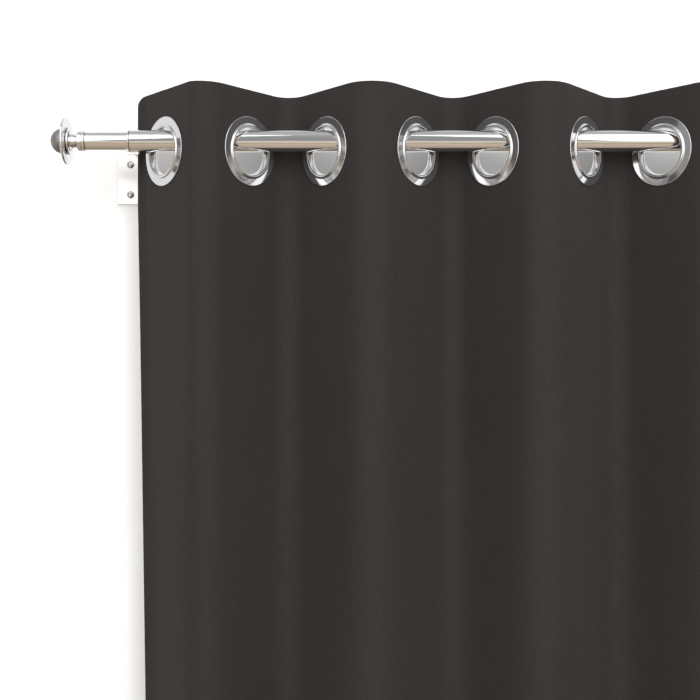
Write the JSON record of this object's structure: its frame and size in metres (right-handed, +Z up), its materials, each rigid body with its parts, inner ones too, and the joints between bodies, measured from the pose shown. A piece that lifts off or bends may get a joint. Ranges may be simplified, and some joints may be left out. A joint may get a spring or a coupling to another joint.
{
  "type": "eyelet curtain panel",
  "caption": "Charcoal cloth curtain panel with chrome eyelets, hanging in soft folds on a telescopic chrome pole with two wall brackets and stepped disc finials.",
  "frame": {"origin": "on the left wall plate's back face, half way up it and behind its arm", "axes": "+X along the pole to the right as seen from the room, +Y into the wall, +Z up"},
  "size_m": [0.8374, 0.1203, 2.134],
  "materials": {
    "polished_chrome": "bright polished chrome plate",
    "bracket_chrome": "bright pale plated pressed steel",
    "screw_steel": "plated dome-head screws",
    "white_plastic": "plain moulded plastic",
    "charcoal_cloth": "matt dark charcoal close-woven polyester"
  },
  "bodies": {
    "pole": {"outer_tube": "polished_chrome", "tube_slide_bush": "white_plastic", "left_wall_plate": "bracket_chrome", "left_arm": "bracket_chrome", "left_cradle": "bracket_chrome", "left_wall_screw_1": "screw_steel", "left_wall_screw_2": "screw_steel", "right_wall_plate": "bracket_chrome", "right_arm": "bracket_chrome", "right_cradle": "bracket_chrome", "right_wall_screw_1": "screw_steel", "right_wall_screw_2": "screw_steel"},
    "inner_rod": {"inner_tube": "polished_chrome"},
    "left_finial": {"left_finial_collar": "polished_chrome", "left_finial_small_disc": "polished_chrome", "left_finial_large_disc": "polished_chrome", "left_finial_dome": "polished_chrome"},
    "right_finial": {"right_finial_collar": "polished_chrome", "right_finial_small_disc": "polished_chrome", "right_finial_large_disc": "polished_chrome", "right_finial_dome": "polished_chrome"},
    "left_clamp": {"left_clamp_screw": "screw_steel"},
    "right_clamp": {"right_clamp_screw": "screw_steel"},
    "fold_1": {"fabric_fold_1": "charcoal_cloth", "eyelet_front_1": "polished_chrome", "eyelet_back_1": "polished_chrome"},
    "fold_2": {"fabric_fold_2": "charcoal_cloth", "eyelet_front_2": "polished_chrome", "eyelet_back_2": "polished_chrome"},
    "fold_3": {"fabric_fold_3": "charcoal_cloth", "eyelet_front_3": "polished_chrome", "eyelet_back_3": "polished_chrome"},
    "fold_4": {"fabric_fold_4": "charcoal_cloth", "eyelet_front_4": "polished_chrome", "eyelet_back_4": "polished_chrome"},
    "fold_5": {"fabric_fold_5": "charcoal_cloth", "eyelet_front_5": "polished_chrome", "eyelet_back_5": "polished_chrome"},
    "fold_6": {"fabric_fold_6": "charcoal_cloth", "eyelet_front_6": "polished_chrome", "eyelet_back_6": "polished_chrome"},
    "fold_7": {"fabric_fold_7": "charcoal_cloth", "eyelet_front_7": "polished_chrome", "eyelet_back_7": "polished_chrome"},
    "fold_8": {"fabric_fold_8": "charcoal_cloth", "eyelet_front_8": "polished_chrome", "eyelet_back_8": "polished_chrome"}
  },
  "joints": [
    {"name": "inner_tube_slides", "type": "slide", "parent": "pole", "child": "inner_rod", "axis": [-1, 0, 0], "range_m": [-0.036, 0.28]},
    {"name": "left_finial_turns", "type": "hinge", "parent": "inner_rod", "child": "left_finial", "pos_m": [-0.0379, -0.085, 0.0216], "axis": [-1, 0, 0], "continuous": true},
    {"name": "right_finial_turns", "type": "hinge", "parent": "pole", "child": "right_finial", "pos_m": [0.7377, -0.085, 0.0216], "axis": [1, 0, 0], "continuous": true},
    {"name": "left_clamp_screw_backs_out", "type": "slide", "parent": "pole", "child": "left_clamp", "axis": [0, 1, 0], "range_m": [0, 0.003]},
    {"name": "right_clamp_screw_backs_out", "type": "slide", "parent": "pole", "child": "right_clamp", "axis": [0, 1, 0], "range_m": [0, 0.003]},
    {"name": "fold_1_turns", "type": "hinge", "parent": "pole", "child": "fold_1", "pos_m": [0.0291, -0.085, 0.0216], "axis": [0, 0, -1], "range_deg": [-3, 36]},
    {"name": "fold_2_turns", "type": "hinge", "parent": "fold_1", "child": "fold_2", "pos_m": [0.0665, -0.12049, 0.0216], "axis": [0, 0, 1], "range_deg": [-6, 72]},
    {"name": "fold_3_turns", "type": "hinge", "parent": "fold_2", "child": "fold_3", "pos_m": [0.14145, -0.0527, 0.0216], "axis": [0, 0, -1], "range_deg": [-6, 72]},
    {"name": "fold_4_turns", "type": "hinge", "parent": "fold_3", "child": "fold_4", "pos_m": [0.2164, -0.12049, 0.0216], "axis": [0, 0, 1], "range_deg": [-6, 72]},
    {"name": "fold_5_turns", "type": "hinge", "parent": "fold_4", "child": "fold_5", "pos_m": [0.29135, -0.0527, 0.0216], "axis": [0, 0, -1], "range_deg": [-6, 72]},
    {"name": "fold_6_turns", "type": "hinge", "parent": "fold_5", "child": "fold_6", "pos_m": [0.3663, -0.12049, 0.0216], "axis": [0, 0, 1], "range_deg": [-6, 72]},
    {"name": "fold_7_turns", "type": "hinge", "parent": "fold_6", "child": "fold_7", "pos_m": [0.44125, -0.0527, 0.0216], "axis": [0, 0, -1], "range_deg": [-6, 72]},
    {"name": "fold_8_turns", "type": "hinge", "parent": "fold_7", "child": "fold_8", "pos_m": [0.5162, -0.12049, 0.0216], "axis": [0, 0, 1], "range_deg": [-6, 72]}
  ],
  "couplings": [
    {"joint": "fold_2_turns", "follows": "fold_1_turns", "ratio": 2},
    {"joint": "fold_3_turns", "follows": "fold_1_turns", "ratio": 2},
    {"joint": "fold_4_turns", "follows": "fold_1_turns", "ratio": 2},
    {"joint": "fold_5_turns", "follows": "fold_1_turns", "ratio": 2},
    {"joint": "fold_6_turns", "follows": "fold_1_turns", "ratio": 2},
    {"joint": "fold_7_turns", "follows": "fold_1_turns", "ratio": 2},
    {"joint": "fold_8_turns", "follows": "fold_1_turns", "ratio": 2}
  ]
}
